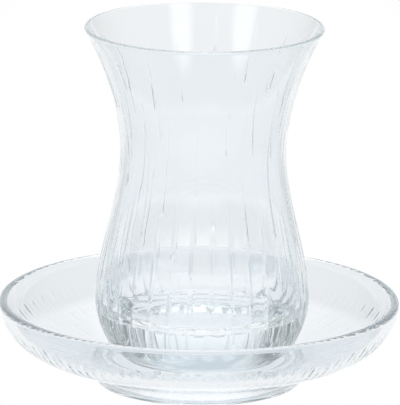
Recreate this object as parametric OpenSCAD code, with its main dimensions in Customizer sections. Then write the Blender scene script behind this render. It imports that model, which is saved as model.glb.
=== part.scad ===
// Waisted tea glass of clear glass standing on its round glass saucer.
// Both pieces are pressed bodies of revolution with fine upright cuts on their outer sides.
// Origin: middle of the foot ring, on the table. +Z is up, the front is -Y.

/* [Tea glass] */
// Height of the glass from its foot to the top of the lip
glass_h = 95.6; // [80:0.1:115]
// Outer radius at the lip
rim_r = 33; // [30:0.1:38]
// Thickness of the rounded lip
lip_t = 1.2; // [0.9:0.1:2.2]
// Outer radius at the waist
waist_r = 22.9; // [20:0.1:26]
// Height of the waist above the foot
waist_z = 61; // [52:0.5:66]
// How late the flare above the waist opens, as a power of the height
flare_power = 1.8; // [1.5:0.1:2.4]
// Outer radius at the belly
belly_r = 29.6; // [27:0.1:36]
// Height of the belly above the foot
belly_z = 18; // [16:0.5:24]
// Outer radius at the foot
foot_r = 22; // [19:0.1:24]
// Rounding of the foot's edge
foot_round = 1.2; // [0.4:0.1:1.8]
// Wall thickness at the waist
waist_wall = 1.6; // [1.2:0.1:2.6]
// Wall thickness at the belly
belly_wall = 2.2; // [1.6:0.1:3.2]
// Thickness of the solid base
base_t = 15; // [10:0.5:17]
// Rounding between the base and the wall, inside
floor_round = 4.5; // [3:0.1:6]
// Radius of the hollow under the foot
punt_r = 16; // [8:0.5:17]
// Depth of the hollow under the foot
punt_h = 1.2; // [0.6:0.1:3]

/* [Saucer] */
// Outer radius of the saucer
saucer_r = 55.5; // [50:0.5:75]
// Height of the saucer from the table to the top of its lip
saucer_h = 23.5; // [20:0.1:30]
// Thickness of the rounded lip
saucer_lip_t = 2.3; // [1.8:0.1:3.4]
// Radius of the upturned side
side_round = 15.5; // [12:0.5:18]
// How far the side leans out at the lip, in degrees
side_lean = 7; // [0:1:12]
// Outer radius of the foot ring
ring_r = 29.2; // [28:0.1:32]
// Height of the foot ring
ring_h = 3; // [2.4:0.1:3.6]
// Width of the foot ring
ring_w = 4; // [3:0.1:6]
// Rounding of the foot ring's edges
ring_round = 0.8; // [0.4:0.1:1.2]
// Height of the seat that the glass stands on
seat_z = 5; // [4.6:0.1:7]
// Depth of the hollow inside the foot ring
ring_hollow = 1.6; // [0.8:0.1:2]
// How far the glass stands off the saucer's middle
glass_shift = 0.8; // [0:0.1:2]

/* [Cuts] */
// Cuts in one round of the glass
glass_cuts = 16; // [12:1:20]
// Cuts in one round of the saucer
saucer_cuts = 30; // [20:1:40]
// Width of a fine cut
fine_w = 0.9; // [0.6:0.1:1.2]
// Depth of a fine cut at its lower or outer end
fine_d = 0.3; // [0.2:0.05:0.5]
// Width of a broad cut, round the thick base and near the saucer's lip
broad_w = 2.4; // [1.4:0.1:3]
// Depth of a broad cut at its lower or outer end
broad_d = 0.45; // [0.2:0.05:0.6]

/* [Hidden] */
$fn = 96;

step = 3;          // height between two stations of a profile
over = 1;          // how far a cutter stands out of the surface it cuts
cut_step = 3;      // length between two stations of a cut
glass_col = [0.86, 0.91, 0.93, 0.45];
saucer_col = [0.82, 0.88, 0.92, 0.45];

// Rows of cuts on the glass: the first cut's place from the front, as a share of the
// turn from one cut to the next, then the upper and lower end of each cut in turn as
// the row goes round, in percent of the glass's height.
upper_row = [-0.29, [[96, 77], [94, 77], [97, 85], [90, 71], [92, 70], [94, 71]]];
middle_row = [0.21, [[83, 58], [82, 55], [84, 42], [79, 38], [83, 29], [81, 59]]];
lower_row = [-0.29, [[46, 32], [52, 27], [56, 32], [50, 25], [61, 28], [48, 24]]];
belly_row = [0.21, [[44, 25], [48, 23], [38, 27], [36, 23], [27, 21], [43, 26]]];
base_row = [-0.29, [[28, 9], [25, 8], [29, 11], [23, 7], [26, 9], [24, 8]]];
low_row = [0.21, [[23, 8], [26, 10], [22, 7], [25, 8], [21, 7], [24, 9]]];
// Rows of rays under the saucer: the first ray's place in the same way, then the
// inner and outer end of each ray in turn, in percent of the way from ring to lip.
inner_rays = [0, [[10, 50], [16, 60], [8, 42]]];
between_rays = [0.5, [[30, 66], [22, 55], [34, 68]]];
outer_rays = [0, [[60, 88], [64, 86], [56, 89]]];
short_rays = [0.25, [[60, 82], [64, 86], [56, 84]]];
lip_rays = [0.5, [[66, 87], [62, 89], [68, 88]]];
last_rays = [0.75, [[62, 84], [58, 80], [60, 86]]];

// Outer radius of the glass at height z: a quarter wave from the foot to the
// belly, half a wave in to the waist, and a power curve that flares to the lip.
function outer_r(z) =
    z < belly_z ? foot_r + (belly_r - foot_r) * sin(90 * z / belly_z)
    : z < waist_z ? (belly_r + waist_r) / 2
        + (belly_r - waist_r) / 2 * cos(180 * (z - belly_z) / (waist_z - belly_z))
    : waist_r + (rim_r - waist_r) * pow((z - waist_z) / (lip_z - waist_z), flare_power);

// Wall thickness at height z, running straight from belly to waist to lip.
function wall_t(z) = lookup(z, [[belly_z, belly_wall], [waist_z, waist_wall], [lip_z, lip_t]]);
function inner_r(z) = outer_r(z) - wall_t(z);

lip_z = glass_h - lip_t / 2;
wall_z = base_t + floor_round;
floor_r = inner_r(wall_z) - floor_round;

// Points on an arc about c from angle a to angle b.
function arc(c, r, a, b, n = 8) =
    [for (i = [0 : n]) let (t = a + (b - a) * i / n) c + r * [cos(t), sin(t)]];
// Heights from a to b, near the station step.
function stations(a, b) = let (n = max(2, ceil(abs(b - a) / step))) [for (i = [0 : n]) a + (b - a) * i / n];

function glass_outline() = concat(
    [[0, punt_h], [punt_r, 0]],
    arc([foot_r - foot_round, foot_round], foot_round, -90, 0, 4),
    [for (z = stations(foot_round + step / 2, lip_z)) [outer_r(z), z]],
    arc([rim_r - lip_t / 2, lip_z], lip_t / 2, 15, 165),
    [for (z = stations(lip_z, wall_z)) [inner_r(z), z]],
    arc([floor_r, wall_z], floor_round, -10, -90, 6),
    [[0, base_t]]);

// The saucer's side is an arc under the lip. A cone touches it and runs in to the
// top of the foot ring: its slope is that of the tangent from there to the arc.
saucer_lip = [saucer_r - saucer_lip_t / 2, saucer_h - saucer_lip_t / 2];
side_c = saucer_lip - (side_round - saucer_lip_t / 2) * [cos(side_lean), -sin(side_lean)];
to_side = side_c - [ring_r, ring_h];
well_slope = atan2(to_side[1], to_side[0]) - asin(side_round / norm(to_side));
in_round = side_round - saucer_lip_t;
well_in = side_c + in_round * [sin(well_slope), -cos(well_slope)];
seat_r = well_in[0] - (well_in[1] - seat_z) / tan(well_slope);

function saucer_outline() = concat(
    [[0, ring_hollow], [ring_r - ring_w, ring_hollow], [ring_r - ring_w + ring_round, 0]],
    arc([ring_r - ring_round, ring_round], ring_round, -90, 0, 4),
    [[ring_r, ring_h]],
    arc(side_c, side_round, well_slope - 90, -side_lean, 10),
    arc(saucer_lip, saucer_lip_t / 2, 12 - side_lean, 168 - side_lean),
    arc(side_c, in_round, -side_lean, well_slope - 90, 10),
    [[seat_r, seat_z], [0, seat_z]]);

// A cut as seen from the side. Each place on path is a point on the surface and the
// surface's outward direction there; depths runs along with path.
module cut_strip(path, depths, width) {
    n = len(path) - 1;
    inner = [for (i = [0 : n]) path[i][0] - depths[i] * path[i][1]];
    outer = [for (i = [n : -1 : 0]) path[i][0] + over * path[i][1]];
    rotate([90, 0, 0])
        linear_extrude(width, center = true)
            polygon(concat(inner, outer));
}

// A cut on the glass, deepest at its lower end and running out to nothing above.
module glass_cut(top, low, width, depth) {
    n = ceil((top - low) / cut_step);
    path = [for (i = [0 : n]) let (z = low + (top - low) * i / n) [[outer_r(z), z], [1, 0]]];
    cut_strip(path, [for (i = [0 : n]) depth * (1 - i / n)], width);
}

// One row of cuts round the glass; the front is at -90 degrees.
module glass_row(row, width, depth) {
    ends = row[1] * glass_h / 100;
    for (i = [0 : glass_cuts - 1])
        rotate([0, 0, -90 + 360 / glass_cuts * (row[0] + i)])
            glass_cut(ends[i % len(ends)][0], ends[i % len(ends)][1], width, depth);
}

module glass() {
    color(glass_col)
        translate([glass_shift, 0, seat_z])
            difference() {
                rotate_extrude() polygon(glass_outline());
                glass_row(upper_row, fine_w, fine_d);
                glass_row(middle_row, fine_w, fine_d);
                glass_row(lower_row, fine_w, fine_d);
                glass_row(belly_row, fine_w, fine_d);
                glass_row(base_row, broad_w, broad_d);
                glass_row(low_row, broad_w, broad_d);
            }
}

// Point on the saucer's underside and the outward direction there, a share of the
// way from the foot ring (0) to the lip (1): first up the cone, then round the side.
cone_length = norm(to_side) * cos(asin(side_round / norm(to_side)));
side_length = side_round * (90 - side_lean - well_slope) * PI / 180;
function underside(share) =
    let (way = share * (cone_length + side_length),
         turn = well_slope + max(0, way - cone_length) / side_round * 180 / PI,
         out = [sin(turn), -cos(turn)])
    way < cone_length ? [[ring_r, ring_h] + way * [cos(well_slope), sin(well_slope)], out]
    : [side_c + side_round * out, out];

// A ray under the saucer, deepest at its outer end and running out to nothing inwards.
module saucer_ray(inner, outer, width, depth) {
    n = ceil((outer - inner) * (cone_length + side_length) / cut_step);
    path = [for (i = [0 : n]) underside(inner + (outer - inner) * i / n)];
    cut_strip(path, [for (i = [0 : n]) depth * i / n], width);
}

// One row of rays round the saucer; the front is at -90 degrees.
module saucer_row(row, width, depth) {
    ends = row[1] / 100;
    for (i = [0 : saucer_cuts - 1])
        rotate([0, 0, -90 + 360 / saucer_cuts * (row[0] + i)])
            saucer_ray(ends[i % len(ends)][0], ends[i % len(ends)][1], width, depth);
}

module saucer() {
    color(saucer_col)
        difference() {
            rotate_extrude() polygon(saucer_outline());
            saucer_row(inner_rays, fine_w, fine_d);
            saucer_row(between_rays, fine_w, fine_d);
            saucer_row(outer_rays, broad_w, broad_d);
            saucer_row(short_rays, fine_w, fine_d);
            saucer_row(lip_rays, broad_w, broad_d);
            saucer_row(last_rays, fine_w, fine_d);
        }
}

glass();
saucer();
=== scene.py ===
import math

import bpy
import numpy as np
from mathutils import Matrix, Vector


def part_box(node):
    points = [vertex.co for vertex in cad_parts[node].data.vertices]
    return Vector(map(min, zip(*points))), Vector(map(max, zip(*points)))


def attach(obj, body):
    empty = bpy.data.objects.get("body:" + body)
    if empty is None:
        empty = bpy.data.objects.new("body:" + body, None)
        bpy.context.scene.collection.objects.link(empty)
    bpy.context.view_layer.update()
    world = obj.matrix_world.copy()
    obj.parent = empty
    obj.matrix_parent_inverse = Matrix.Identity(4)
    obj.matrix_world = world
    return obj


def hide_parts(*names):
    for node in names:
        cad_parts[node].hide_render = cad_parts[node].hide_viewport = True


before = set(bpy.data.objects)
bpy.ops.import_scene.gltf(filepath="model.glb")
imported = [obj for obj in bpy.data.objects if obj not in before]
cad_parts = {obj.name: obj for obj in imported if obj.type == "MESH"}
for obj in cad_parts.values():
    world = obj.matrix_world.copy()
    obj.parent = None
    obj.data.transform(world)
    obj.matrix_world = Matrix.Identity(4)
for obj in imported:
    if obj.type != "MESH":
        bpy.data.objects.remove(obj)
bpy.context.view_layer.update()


# ---------------------------------------------------------------- Tea glass
# Pressed clear soda-lime glass, one piece: a thick solid base, a thin waisted
# wall and a fire-polished lip. Fine upright cuts from the mould run round its
# outer side, each fading out upwards and ending below in a drop.

MM = 0.001
glass_lo, glass_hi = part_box("glass")
glass_x = (glass_lo.x + glass_hi.x) / 2
glass_foot = glass_lo.z
glass_h = glass_hi.z - glass_lo.z
rim_r = (glass_hi.x - glass_lo.x) / 2

lip_t = 1.2 * MM
waist_r = 22.9 * MM
waist_z = 61 * MM
flare_power = 1.8
belly_r = 29.6 * MM
belly_z = 18 * MM
foot_r = 22 * MM
foot_round = 1.2 * MM
waist_wall = 1.6 * MM
belly_wall = 2.2 * MM
base_t = 15 * MM
floor_round = 4.5 * MM
floor_dip = 0.5 * MM
punt_h = 1.2 * MM
lift = 0.02 * MM  # keeps the foot's face off the saucer's seat
lip_z = glass_h - lift - lip_t / 2

# Rows of cuts: the first cut's angle from the front in degrees, half the width
# and the depth at the lower end in mm, and each cut's upper and lower end above
# the foot in turn as the row goes round, in mm.
CUTS_ROUND = 16
FIRST_ANGLES = (-6.5, 4.75)
GLASS_ROWS = [
    (FIRST_ANGLES[0], 0.62, 0.22, [(92, 74), (90, 74), (93, 81), (86, 68), (88, 67), (90, 68)]),
    (FIRST_ANGLES[1], 0.62, 0.22, [(79, 55), (78, 53), (80, 40), (76, 36), (79, 28), (77, 56)]),
    (FIRST_ANGLES[0], 0.70, 0.26, [(44, 31), (50, 26), (54, 31), (48, 24), (58, 27), (46, 23)]),
    (FIRST_ANGLES[1], 0.70, 0.26, [(42, 24), (46, 22), (36, 26), (34, 22), (26, 20), (41, 25)]),
    (FIRST_ANGLES[0], 2.20, 0.55, [(27, 8), (24, 7), (28, 10), (22, 6), (25, 8), (23, 7)]),
    (FIRST_ANGLES[1], 1.80, 0.45, [(22, 7), (25, 9), (21, 6), (24, 7), (20, 6), (23, 8)]),
]

# The drop at a cut's lower end: how far above that end it sits and half its height,
# in mm, and its added depth as a share of the cut's.
DROP_UP = 1.4
DROP_HALF = 0.9
DROP_SHARE = 0.7

# A point this near to a surface's formula counts as lying on that surface.
SURFACE_NEAR = 0.3 * MM


def outer_radius(z):
    """Radius of the outer side at height z above the foot: a quarter sine wave up to
    the belly, half a cosine wave in to the waist, and a power curve out to the lip."""
    foot = foot_r + (belly_r - foot_r) * np.sin(np.pi / 2 * np.clip(z / belly_z, 0, 1))
    swing = np.cos(np.pi * np.clip((z - belly_z) / (waist_z - belly_z), 0, 1))
    body = (belly_r + waist_r) / 2 + (belly_r - waist_r) / 2 * swing
    rise = np.clip((z - waist_z) / (lip_z - waist_z), 0, 1)
    flare = waist_r + (rim_r - waist_r) * rise**flare_power
    return np.where(z < belly_z, foot, np.where(z < waist_z, body, flare))


def inner_radius(z):
    """Outer radius less the wall, which thins from belly to waist and is the lip's at the top."""
    return outer_radius(z) - np.interp(z, [belly_z, waist_z, lip_z], [belly_wall, waist_wall, lip_t])


def arc(centre, radius, start, stop, count):
    """Points on a circle about centre from one angle to another, in degrees."""
    turn = np.radians(np.linspace(start, stop, count))
    return np.stack([centre[0] + radius * np.cos(turn), centre[1] + radius * np.sin(turn)], 1)


def curve(radius_at, start, stop, count):
    """Points (radius_at(z), z) at even heights from start to stop."""
    z = np.linspace(start, stop, count)
    return np.stack([radius_at(z), z], 1)


def columns(first_angles, count, spread, per_cut, between):
    """Angles of a grid's columns: per_cut of them within spread degrees to each side of
    a cut's middle, and between of them, further apart, on the way to the next cut."""
    middles = np.sort(np.concatenate([a + 360 / count * np.arange(count) for a in first_angles]) % 360)
    gaps = np.diff(np.append(middles, middles[0] + 360))
    near = np.linspace(-spread, spread, per_cut)
    far = np.arange(1, between + 1) / (between + 1)
    grid = [np.append(m + near, m + spread + far * (g - 2 * spread)) for m, g in zip(middles, gaps)]
    return np.radians(np.concatenate(grid) - 90)


def wrapped(angle):
    """The same angle between -pi and pi."""
    return (angle + np.pi) % (2 * np.pi) - np.pi


def revolve(name, outline, theta, sink, centre_x):
    """Mesh of an outline (radius, height) carried round the upright axis at centre_x. The
    first and last points are poles. sink(radius, height, theta) is how far each point of
    the grid lies inside the round surface; the grid is outline rows by theta columns."""
    ring = outline[1:-1]
    radius = ring[:, :1] - sink(ring[:, :1], ring[:, 1:], theta[None, :])
    x = centre_x + radius * np.cos(theta)
    grid = np.stack([x, radius * np.sin(theta), ring[:, 1:] + 0 * radius], 2)
    poles = [[centre_x, 0, outline[0, 1]], [centre_x, 0, outline[-1, 1]]]
    points = np.concatenate([grid.reshape(-1, 3), poles])
    rows, cols = radius.shape
    index = np.arange(rows * cols).reshape(rows, cols)
    right = np.roll(index, -1, axis=1)
    quads = np.stack([index[:-1], right[:-1], right[1:], index[1:]], 2).reshape(-1, 4)
    low = np.stack([np.full(cols, rows * cols), right[0], index[0]], 1)
    top = np.stack([np.full(cols, rows * cols + 1), index[-1], right[-1]], 1)
    mesh = bpy.data.meshes.new(name)
    mesh.from_pydata(points.tolist(), [], quads.tolist() + low.tolist() + top.tolist())
    mesh.polygons.foreach_set("use_smooth", np.ones(len(mesh.polygons), bool))
    mesh.update()
    piece = bpy.data.objects.new(name, mesh)
    bpy.context.scene.collection.objects.link(piece)
    return piece


def glass_cuts(radius, height, theta):
    """Depth of all cuts on the outer side. Across a cut it is a raised cosine of the
    distance from the middle; along it the cut deepens and widens from nothing at the
    upper end to a round drop at the lower one."""
    outer = np.abs(radius - outer_radius(height)) < SURFACE_NEAR
    depth = np.zeros(np.broadcast_shapes(radius.shape, theta.shape))
    for first, half_mm, depth_mm, ends in GLASS_ROWS:
        for i in range(CUTS_ROUND):
            top, low = ends[i % len(ends)]
            along = np.clip((top * MM - height) / ((top - low) * MM), 0, 1)
            half = half_mm * MM * (0.55 + 0.45 * along)
            end = np.clip((height - low * MM) / (2 * half_mm * MM), 0, 1)
            middle = math.radians(first + 360 / CUTS_ROUND * i - 90)
            across = np.clip(wrapped(theta - middle) * radius / half, -1, 1)
            drop = np.exp(-((height - (low + DROP_UP) * MM) / (DROP_HALF * MM))**2)
            shape = (along**0.7 + DROP_SHARE * drop) * np.sqrt(end)
            depth = np.maximum(depth, depth_mm * MM * shape * (0.5 + 0.5 * np.cos(np.pi * across)))
    return depth * outer


wall_z = base_t + floor_round
floor_r = inner_radius(wall_z) - floor_round
punt_r = foot_r - 1.6 * foot_round
glass_outline = np.concatenate([
    [[0, punt_h]],
    curve(lambda z: punt_r * np.sqrt(np.clip(1 - z / punt_h, 0, 1)), punt_h * 0.96, punt_h * 0.12, 7),
    arc((foot_r - foot_round, foot_round), foot_round, -105, -10, 8),
    curve(outer_radius, 2.2 * MM, lip_z - 0.4 * MM, 128),
    arc((rim_r - lip_t / 2, lip_z), lip_t / 2, 10, 170, 11),
    curve(inner_radius, lip_z - 0.5 * MM, wall_z, 34),
    arc((floor_r, wall_z), floor_round, -8, -88, 9),
    curve(lambda z: floor_r * np.sqrt(np.clip((z - base_t + floor_dip) / floor_dip, 0, 1)),
          base_t - 0.08 * floor_dip, base_t - 0.94 * floor_dip, 5),
    [[0, base_t - floor_dip]],
])
glass_outline[:, 1] += glass_foot + lift


def glass_sink(radius, height, theta):
    """The same depth, for heights above the table."""
    return glass_cuts(radius, height - glass_foot - lift, theta)


glass_columns = columns(FIRST_ANGLES, CUTS_ROUND, 1.6, 11, 4)
tea_glass = revolve("tea_glass", glass_outline, glass_columns, glass_sink, glass_x)


class Wire:
    """A socket in a node tree; arithmetic on it adds Math nodes."""

    def __init__(self, tree, socket=None):
        self.tree = tree
        self.socket = socket

    def node(self, kind, settings=None, sockets=None, out=0):
        """A new node of that kind: its settings first, then its sockets' values or links."""
        made = self.tree.nodes.new(kind)
        for key, value in (settings or {}).items():
            setattr(made, key, value)
        for key, value in (sockets or {}).items():
            if isinstance(value, Wire):
                self.tree.links.new(value.socket, made.inputs[key])
            else:
                made.inputs[key].default_value = value
        return Wire(self.tree, made.outputs[out] if made.outputs else None)

    def math(self, operation, a, b):
        return self.node("ShaderNodeMath", {"operation": operation}, {0: a, 1: b})

    def __add__(self, other):
        return self.math("ADD", self, other)

    __radd__ = __add__

    def __sub__(self, other):
        return self.math("SUBTRACT", self, other)

    def __rsub__(self, other):
        return self.math("SUBTRACT", other, self)

    def __mul__(self, other):
        return self.math("MULTIPLY", self, other)

    __rmul__ = __mul__


def clear_glass(name, tint, dimmer, depth_tint, density, ripple):
    """Clear pressed glass. tint colours each surface, dimmer is its other end where the
    melt is a touch greyer, depth_tint and density are what the thick parts absorb, and
    ripple is the height of the soft unevenness that the mould leaves, in metres."""
    material = bpy.data.materials.new(name)
    material.use_nodes = True
    tree = material.node_tree
    tree.nodes.clear()
    start = Wire(tree)
    place = start.node("ShaderNodeTexCoord", out="Object")
    cloud = start.node("ShaderNodeTexNoise", sockets={"Vector": place, "Scale": 45.0, "Detail": 2.0})
    wave = start.node("ShaderNodeTexNoise", sockets={"Vector": place, "Scale": 130.0, "Detail": 1.0})
    base = start.node("ShaderNodeMix", {"data_type": "RGBA"}, {"Factor": cloud, 6: tint, 7: dimmer}, out=2)
    bump = start.node("ShaderNodeBump", sockets={"Height": wave * ripple, "Distance": 1.0, "Strength": 1.0})
    glass = start.node("ShaderNodeBsdfPrincipled", sockets={
        "Base Color": base,
        "Roughness": cloud * 0.02,
        "IOR": 1.5,
        "Transmission Weight": 1.0,
        "Normal": bump,
    })
    inside = start.node("ShaderNodeVolumeAbsorption", sockets={"Color": depth_tint, "Density": density})
    start.node("ShaderNodeOutputMaterial", sockets={"Surface": glass, "Volume": inside})
    return material


tea_glass.data.materials.append(clear_glass(
    "tea_glass_clear", (0.925, 0.95, 0.965, 1), (0.915, 0.94, 0.955, 1), (0.6, 0.72, 0.72, 1), 2.0, 0.00003))
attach(tea_glass, "root")
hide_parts("glass")


# ------------------------------------------------------------------- Saucer
# Pressed clear glass, one piece: a flat seat on a foot ring, a shallow sloping
# well and an upturned side with a round lip. Fine rays are cut underneath.

saucer_lo, saucer_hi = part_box("saucer")
saucer_r = (saucer_hi.x - saucer_lo.x) / 2
saucer_h = saucer_hi.z
saucer_lip_t = 2.3 * MM
side_round = 15.5 * MM
side_lean = 7
ring_r = 29.2 * MM
ring_h = 3 * MM
ring_w = 4 * MM
ring_hollow = 1.6 * MM
hollow_round = 0.6 * MM
seat_z = glass_foot

# Rows of rays: the first ray's angle from the front in degrees, half the width and
# the depth at the outer end in mm, and the inner and outer end of each ray in turn,
# as shares of the way from the foot ring (0) to the lip (1).
RAYS_ROUND = 30
SAUCER_ROWS = [
    (0, 1.20, 0.12, [(0.10, 0.50), (0.16, 0.62), (0.08, 0.42)]),
    (6, 1.20, 0.10, [(0.30, 0.66), (0.22, 0.55), (0.34, 0.70)]),
    (0, 1.40, 0.26, [(0.58, 0.82), (0.62, 0.80), (0.54, 0.83)]),
    (3, 1.20, 0.15, [(0.58, 0.78), (0.62, 0.81), (0.54, 0.79)]),
    (6, 1.40, 0.26, [(0.62, 0.81), (0.58, 0.83), (0.64, 0.82)]),
    (9, 1.20, 0.15, [(0.60, 0.79), (0.56, 0.76), (0.58, 0.81)]),
]

saucer_lip = np.array([saucer_r - saucer_lip_t / 2, saucer_h - saucer_lip_t / 2])
lean = math.radians(side_lean)
side_centre = saucer_lip - (side_round - saucer_lip_t / 2) * np.array([math.cos(lean), -math.sin(lean)])
to_side = side_centre - [ring_r, ring_h]
well_slope = math.atan2(to_side[1], to_side[0]) - math.asin(side_round / np.hypot(*to_side))
slope_deg = math.degrees(well_slope)
well_out = side_centre + side_round * np.array([math.sin(well_slope), -math.cos(well_slope)])
well_in = side_centre + (side_round - saucer_lip_t) * np.array([math.sin(well_slope), -math.cos(well_slope)])
seat_r = well_in[0] - (well_in[1] - seat_z) / math.tan(well_slope)


def line(start, stop, count):
    """Even points on a straight line from start to stop, both ends left out."""
    step = (np.arange(count) + 1)[:, None] / (count + 1)
    return np.array(start) + (np.array(stop) - np.array(start)) * step


cone_length = np.hypot(*(well_out - [ring_r, ring_h]))
side_length = side_round * (math.pi / 2 - well_slope - lean)


def saucer_rays(radius, height, theta):
    """Depth of all rays under the saucer: a raised cosine across, and along the ray it
    deepens and widens from nothing near the foot ring to a round end near the lip."""
    on_side = height > well_out[1]
    bend = np.arctan2(height - side_centre[1], radius - side_centre[0]) + math.pi / 2 - well_slope
    cone = (radius - ring_r) / math.cos(well_slope)
    share = np.where(on_side, cone_length + side_round * bend, cone) / (cone_length + side_length)
    off_side = np.abs(np.hypot(radius - side_centre[0], height - side_centre[1]) - side_round)
    off_cone = np.abs(height - ring_h - (radius - ring_r) * math.tan(well_slope))
    outside = np.where(on_side, off_side, off_cone) < SURFACE_NEAR
    depth = np.zeros(np.broadcast_shapes(radius.shape, theta.shape))
    for first, half_mm, depth_mm, ends in SAUCER_ROWS:
        for i in range(RAYS_ROUND):
            inner, outer = ends[i % len(ends)]
            along = np.clip((share - inner) / (outer - inner), 0, 1)
            end = np.clip((outer - share) * (cone_length + side_length) / (1.6 * half_mm * MM), 0, 1)
            half = half_mm * MM * (0.5 + 0.5 * along)
            middle = math.radians(first + 360 / RAYS_ROUND * i - 90)
            across = np.clip(wrapped(theta - middle) * radius / half, -1, 1)
            shape = along**0.7 * np.sqrt(end)
            depth = np.maximum(depth, depth_mm * MM * shape * (0.5 + 0.5 * np.cos(np.pi * across)))
    return depth * outside


saucer_outline = np.concatenate([
    [[0, ring_hollow]],
    line((0, ring_hollow), (ring_r - ring_w - hollow_round, ring_hollow), 2),
    arc((ring_r - ring_w - hollow_round, ring_hollow - hollow_round), hollow_round, 90, 0, 5),
    arc((ring_r - ring_w / 2, ring_w / 2), ring_w / 2, 215, 325, 11),
    line((ring_r - 0.2 * MM, ring_h * 0.4), (ring_r, ring_h), 3),
    line((ring_r, ring_h), well_out, 22),
    arc(side_centre, side_round, slope_deg - 90, -side_lean, 36),
    arc(saucer_lip, saucer_lip_t / 2, 8 - side_lean, 172 - side_lean, 12),
    arc(side_centre, side_round - saucer_lip_t, -side_lean, slope_deg - 90, 16),
    line(well_in, (seat_r, seat_z), 4),
    line((seat_r, seat_z), (0, seat_z), 3),
    [[0, seat_z]],
])
every_half_degree = np.radians(np.arange(720) / 2 - 90)
saucer = revolve("saucer", saucer_outline, every_half_degree, saucer_rays, 0)
saucer.data.materials.append(clear_glass(
    "saucer_clear", (0.865, 0.90, 0.925, 1), (0.855, 0.89, 0.915, 1), (0.45, 0.62, 0.7, 1), 1.0, 0.00003))
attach(saucer, "root")
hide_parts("saucer")


# -------------------------------------------------------------------- Floor
# A wide sheet of white acrylic glowing like a light table, with light painted in: a painted pool
# of light in a strip running back under the glass, and painted shade greying it far from the middle.

floor_mesh = bpy.data.meshes.new("floor")
floor_edge = 3.0
floor_z = -0.05 * MM
floor_mesh.from_pydata(
    [(-floor_edge, -floor_edge, floor_z), (floor_edge, -floor_edge, floor_z),
     (floor_edge, floor_edge, floor_z), (-floor_edge, floor_edge, floor_z)], [], [(0, 1, 2, 3)])
floor = bpy.data.objects.new("floor", floor_mesh)
bpy.context.scene.collection.objects.link(floor)
floor_material = bpy.data.materials.new("floor_white")
floor_material.use_nodes = True
floor_material.node_tree.nodes.clear()
floor_start = Wire(floor_material.node_tree)
floor_place = floor_start.node("ShaderNodeTexCoord", out="Object")
floor_x = floor_start.node("ShaderNodeSeparateXYZ", sockets={"Vector": floor_place}, out="X")
floor_y = floor_start.node("ShaderNodeSeparateXYZ", sockets={"Vector": floor_place}, out="Y")
# The even sheet and the brighter strip are ellipses: each value below is the squared
# distance from the ellipse's middle, in metres, with the sideways part weighed more.
sheet_y = 0.22
strip_y = 0.065
behind = floor_y - sheet_y
off_sheet = (floor_x * floor_x) * 15.0 + behind * behind
# Painted shade: the floor's glow fades to grey far from the middle.
painted_falloff = floor_start.node("ShaderNodeMapRange", {"clamp": True, "interpolation_type": "SMOOTHSTEP"},
                        {"Value": off_sheet, "From Min": 0.11, "From Max": 0.5})
middle = floor_y - strip_y
off_middle = (floor_x * floor_x) * 1100.0 + (middle * middle) * 100.0
# Painted pool of light: a brighter strip of glow running back under the glass.
painted_pool = floor_start.node("ShaderNodeMapRange", {"clamp": True, "interpolation_type": "SMOOTHSTEP"},
                        {"Value": off_middle, "From Min": 1.2, "From Max": 0.4})
lit = floor_start.node("ShaderNodeMix", {"data_type": "RGBA"},
                       {"Factor": painted_pool, 6: (1, 1, 1, 1), 7: (1.24, 1.19, 1.16, 1)}, out=2)
floor_colour = floor_start.node("ShaderNodeMix", {"data_type": "RGBA"},
                                {"Factor": painted_falloff, 6: lit, 7: (0.7, 0.73, 0.75, 1)}, out=2)
floor_glow = floor_start.node("ShaderNodeEmission", sockets={"Color": floor_colour, "Strength": 1.0})
floor_start.node("ShaderNodeOutputMaterial", sockets={"Surface": floor_glow})
floor_mesh.materials.append(floor_material)


# ------------------------------------------------------------------- Lights
# A pale room: bright near the horizon and right overhead, greyer between, dark to the
# sides and in front, and two upright soft boxes in front to the left and right.

world = bpy.data.worlds.new("studio")
world.use_nodes = True
world.node_tree.nodes.clear()
sky = Wire(world.node_tree)
towards = sky.node("ShaderNodeTexCoord", out="Generated")
east = sky.node("ShaderNodeSeparateXYZ", sockets={"Vector": towards}, out="X")
north = sky.node("ShaderNodeSeparateXYZ", sockets={"Vector": towards}, out="Y")
up = sky.node("ShaderNodeSeparateXYZ", sockets={"Vector": towards}, out="Z")


def ramp(value, start, stop):
    """Smooth step from 0 at start to 1 at stop."""
    return sky.node("ShaderNodeMapRange", {"clamp": True, "interpolation_type": "SMOOTHSTEP"},
                    {"Value": value, "From Min": start, "From Max": stop})


def blend_colour(factor, a, b):
    """Colour a where factor is 0, turning to b where it is 1."""
    return sky.node("ShaderNodeMix", {"data_type": "RGBA"}, {"Factor": factor, 6: a, 7: b}, out=2)


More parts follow.
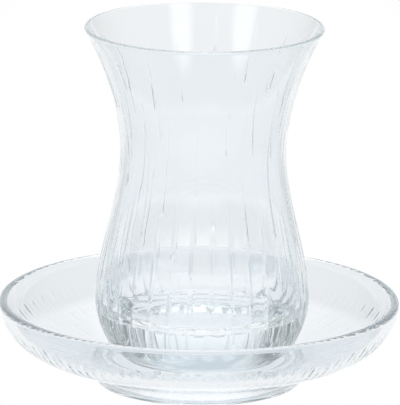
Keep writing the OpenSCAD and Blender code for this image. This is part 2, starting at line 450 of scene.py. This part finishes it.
def soft_lobe(azimuth, elevation, half_wide, half_high):
    """A soft-edged upright patch of the sky: angles in degrees, azimuth 0 at the front and
    positive to the right, and half its width and height as shares of the sky's radius."""
    turn, tilt = math.radians(azimuth), math.radians(elevation)
    ahead = east * (math.sin(turn) * math.cos(tilt)) + north * (-math.cos(turn) * math.cos(tilt))
    ahead = ahead + up * math.sin(tilt)
    aside = east * math.cos(turn) + north * math.sin(turn)
    above = up * math.cos(tilt) + east * (-math.sin(turn) * math.sin(tilt))
    above = above + north * (math.cos(turn) * math.sin(tilt))
    across = aside * (1 / half_wide)
    along = above * (1 / half_high)
    return ramp(across * across + along * along, 1.0, 0.0) * ramp(ahead, 0.0, 0.1)


low_sky = blend_colour(ramp(up, 0.0, 0.3), (1.15, 1.15, 1.15, 1), (0.9, 0.93, 0.95, 1))
overhead = blend_colour(ramp(up, 0.5, 0.8), low_sky, (1.4, 1.4, 1.4, 1))
room = ramp(north, -0.35, -0.85) * ramp(up, 0.0, 0.15)
sides = ramp(east * east, 0.03, 0.35) * ramp(up, 0.0, 0.05)
flanked = blend_colour(sides, overhead, (0.26, 0.28, 0.275, 1))
surround = blend_colour(room, flanked, (0.16, 0.19, 0.22, 1))
box_tilt, box_wide, box_high = 34, 0.24, 0.36
boxes = soft_lobe(-47, box_tilt, box_wide, box_high) + soft_lobe(28, box_tilt, box_wide, box_high)
sky_colour = blend_colour(boxes, surround, (1.9, 1.95, 2.0, 1))
glow = sky.node("ShaderNodeBackground", sockets={"Color": sky_colour, "Strength": 1.0})
sky.node("ShaderNodeOutputWorld", sockets={"Surface": glow})
scene = bpy.context.scene
scene.world = world


# ------------------------------------------------------------------- Camera
# A long lens a little above the lip, rolled by half a degree.

camera_data = bpy.data.cameras.new("camera")
camera_data.sensor_fit = "HORIZONTAL"
camera_data.sensor_width = 36
camera_data.lens = 503
camera_data.clip_end = 20
camera = bpy.data.objects.new("camera", camera_data)
rise = math.radians(14.2)
roll = math.radians(0.54)
reach = 1.545
aim_height = 0.05065
camera.location = (0, -reach * math.cos(rise), aim_height + reach * math.sin(rise))
camera.rotation_euler = (math.pi / 2 - rise, 0, 0)
camera.rotation_mode = "XYZ"
scene.collection.objects.link(camera)
scene.camera = camera
camera.rotation_euler.rotate_axis("Z", roll)

scene.view_settings.view_transform = "Standard"
scene.view_settings.look = "None"
scene.cycles.max_bounces = 256
scene.cycles.transmission_bounces = 256
scene.cycles.glossy_bounces = 256
scene.cycles.sample_clamp_indirect = 8
scene.cycles.use_denoising = True
